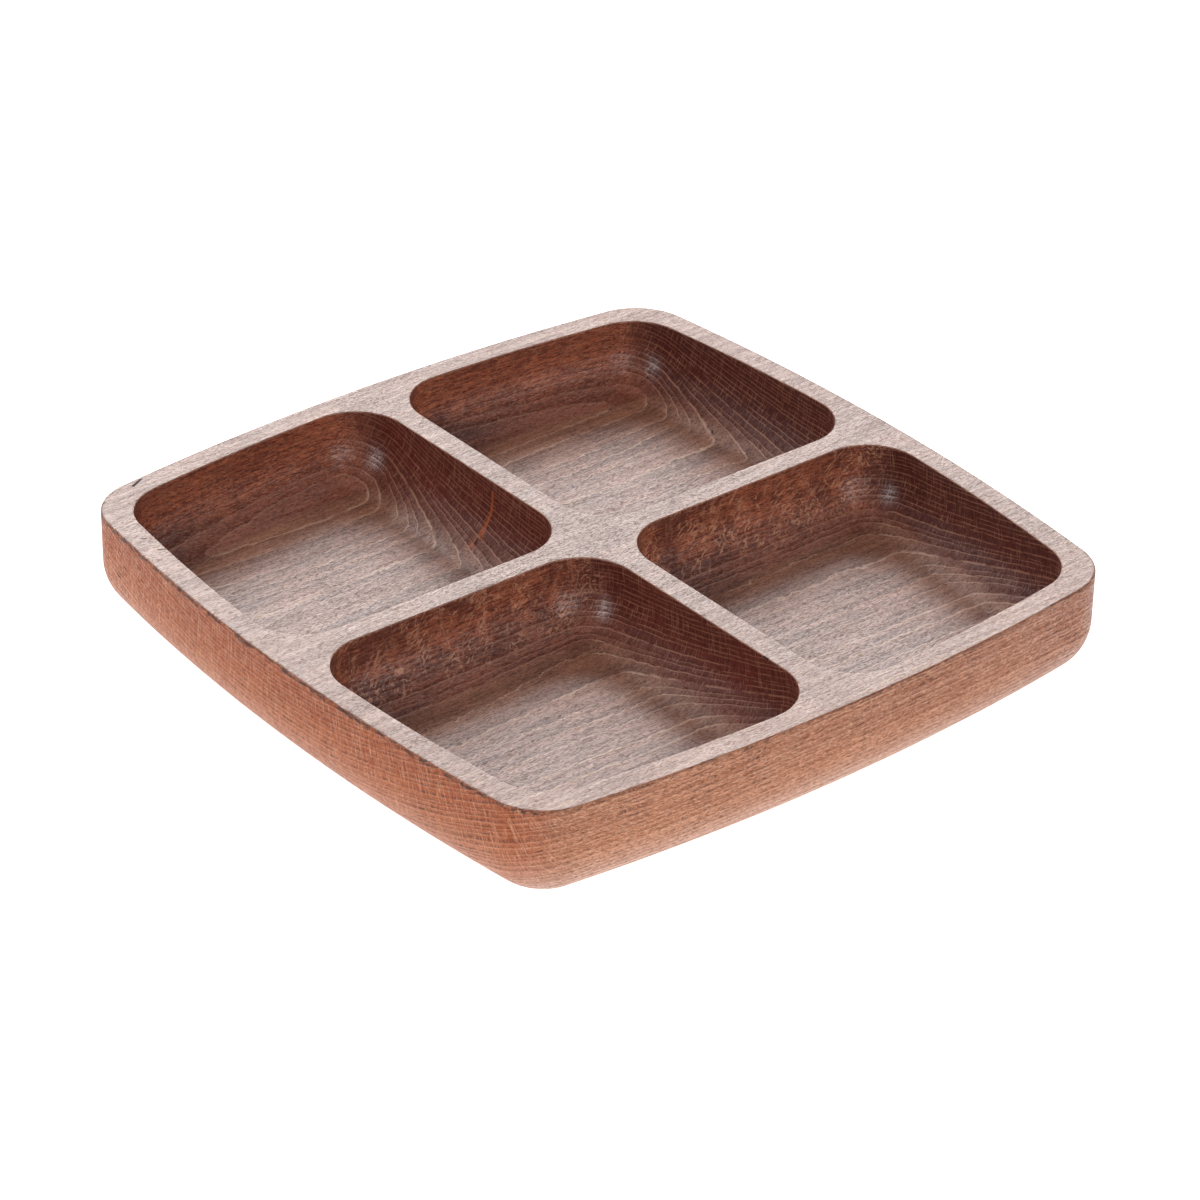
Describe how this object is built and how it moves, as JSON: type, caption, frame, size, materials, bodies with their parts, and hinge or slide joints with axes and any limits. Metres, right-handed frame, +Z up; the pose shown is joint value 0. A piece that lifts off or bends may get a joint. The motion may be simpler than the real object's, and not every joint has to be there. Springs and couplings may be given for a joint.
{
  "type": "compartment snack dish",
  "caption": "Low square wooden snack dish with bowed sides, its compartments routed out of one solid block with a flat rim, crossing ribs and rounded floors.",
  "frame": {"origin": "middle of the flat face that the dish rests on", "axes": "+Z up; X along the grain of the wood; Y across the grain"},
  "size_m": [0.28, 0.28, 0.04],
  "materials": {
    "beech": "brown-stained beech, sanded and oiled to a satin sheen"
  },
  "bodies": {
    "root": {"dish": "beech"}
  },
  "joints": []
}
